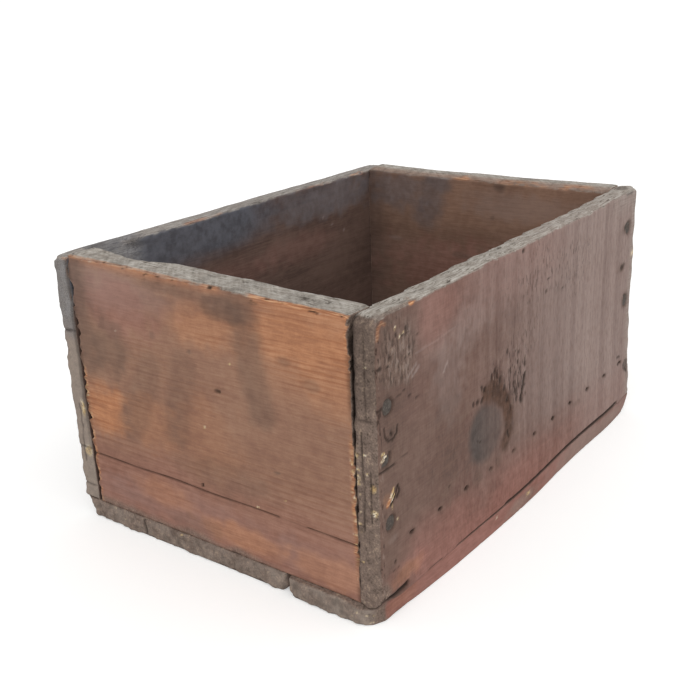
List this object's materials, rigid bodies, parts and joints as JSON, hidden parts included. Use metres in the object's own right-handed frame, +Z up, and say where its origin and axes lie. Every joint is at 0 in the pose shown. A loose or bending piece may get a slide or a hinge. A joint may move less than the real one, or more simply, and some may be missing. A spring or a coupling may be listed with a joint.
{
  "type": "open wooden packing box",
  "caption": "Open-topped nailed wooden box: thick end boards between thinner sides, on a two-board bottom, all held by wire nails and worn with age.",
  "frame": {"origin": "middle of the underside, on the surface that the box stands on", "axes": "+X along the box from its left end to its right end, +Y across it from front to rear, +Z up"},
  "size_m": [0.2552, 0.178, 0.1338],
  "materials": {
    "side_wood": "weathered bare wood with old dark stain",
    "end_wood": "weathered orange-brown bare wood with smoky stains",
    "bottom_wood": "dark rough weathered wood",
    "nail_iron": "dark rusted iron wire nails"
  },
  "bodies": {
    "root": {"front_side_board": "side_wood", "rear_side_board": "side_wood", "left_end_board": "end_wood", "right_end_board": "end_wood", "wide_bottom_board": "bottom_wood", "narrow_bottom_board": "bottom_wood", "front_left_corner_nails": "nail_iron", "front_right_corner_nails": "nail_iron", "rear_left_corner_nails": "nail_iron", "rear_right_corner_nails": "nail_iron", "front_bottom_nails": "nail_iron", "rear_bottom_nails": "nail_iron", "left_bottom_nails": "nail_iron", "right_bottom_nails": "nail_iron"}
  },
  "joints": []
}
